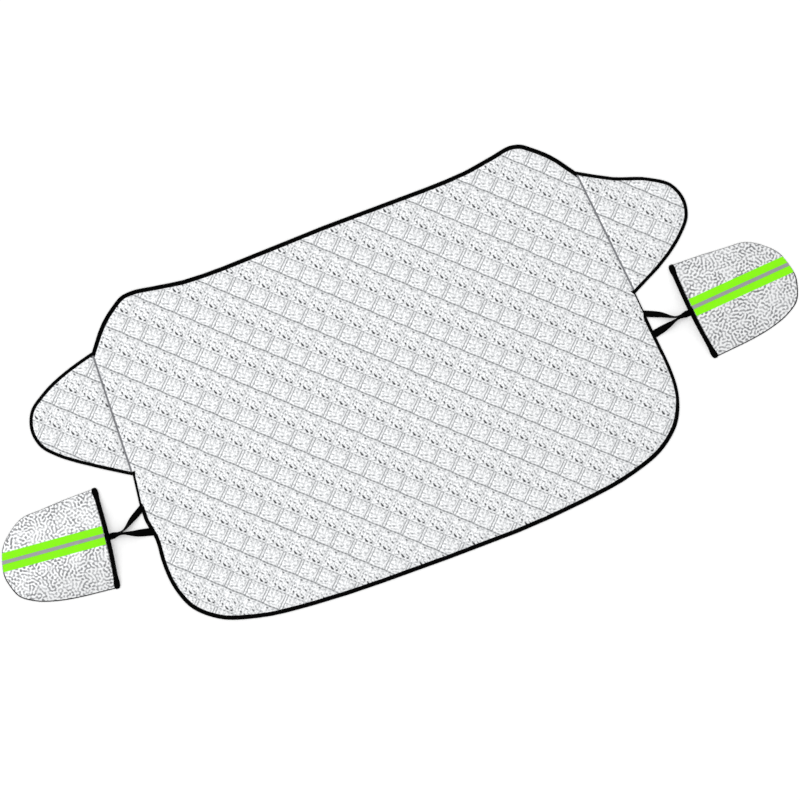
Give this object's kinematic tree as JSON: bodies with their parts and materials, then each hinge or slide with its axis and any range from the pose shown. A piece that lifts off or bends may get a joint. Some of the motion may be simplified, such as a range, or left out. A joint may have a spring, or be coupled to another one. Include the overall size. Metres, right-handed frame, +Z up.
{
  "type": "windshield frost cover",
  "caption": "Quilted foil windshield cover with taped edges, a door flap at each side and a strapped pouch for each side mirror, laid out flat.",
  "frame": {"origin": "middle of the blanket's underside, where it lies on the glass", "axes": "+X across the car towards the picture's right pouch, +Y towards the roof edge, +Z up out of the blanket"},
  "size_m": [2.3454, 1.0101, 0.022],
  "materials": {
    "quilted_foil": "crinkled aluminium film quilted on wadding",
    "pouch_foil": "crinkled aluminium film, unquilted",
    "edge_tape": "woven polyester binding tape",
    "seam_tape": "grey woven seam tape",
    "elastic": "knitted elastic",
    "lime_ribbon": "fluorescent lime warp-knit ribbon",
    "reflective_strip": "grey glass-bead reflective fabric",
    "strap_ribbon": "woven polyester ribbon"
  },
  "bodies": {
    "root": {"main_panel": "quilted_foil", "left_door_flap": "quilted_foil", "right_door_flap": "quilted_foil", "roof_edge_binding": "edge_tape", "hood_edge_binding": "edge_tape", "left_flap_binding": "edge_tape", "right_flap_binding": "edge_tape", "left_seam_tape": "seam_tape", "right_seam_tape": "seam_tape", "left_pouch_front": "pouch_foil", "right_pouch_front": "pouch_foil", "left_pouch_back": "pouch_foil", "right_pouch_back": "pouch_foil", "left_mouth_elastic": "elastic", "right_mouth_elastic": "elastic", "left_lime_band": "lime_ribbon", "right_lime_band": "lime_ribbon", "left_reflective_strip": "reflective_strip", "right_reflective_strip": "reflective_strip", "left_pouch_strap": "strap_ribbon", "right_pouch_strap": "strap_ribbon"}
  },
  "joints": []
}
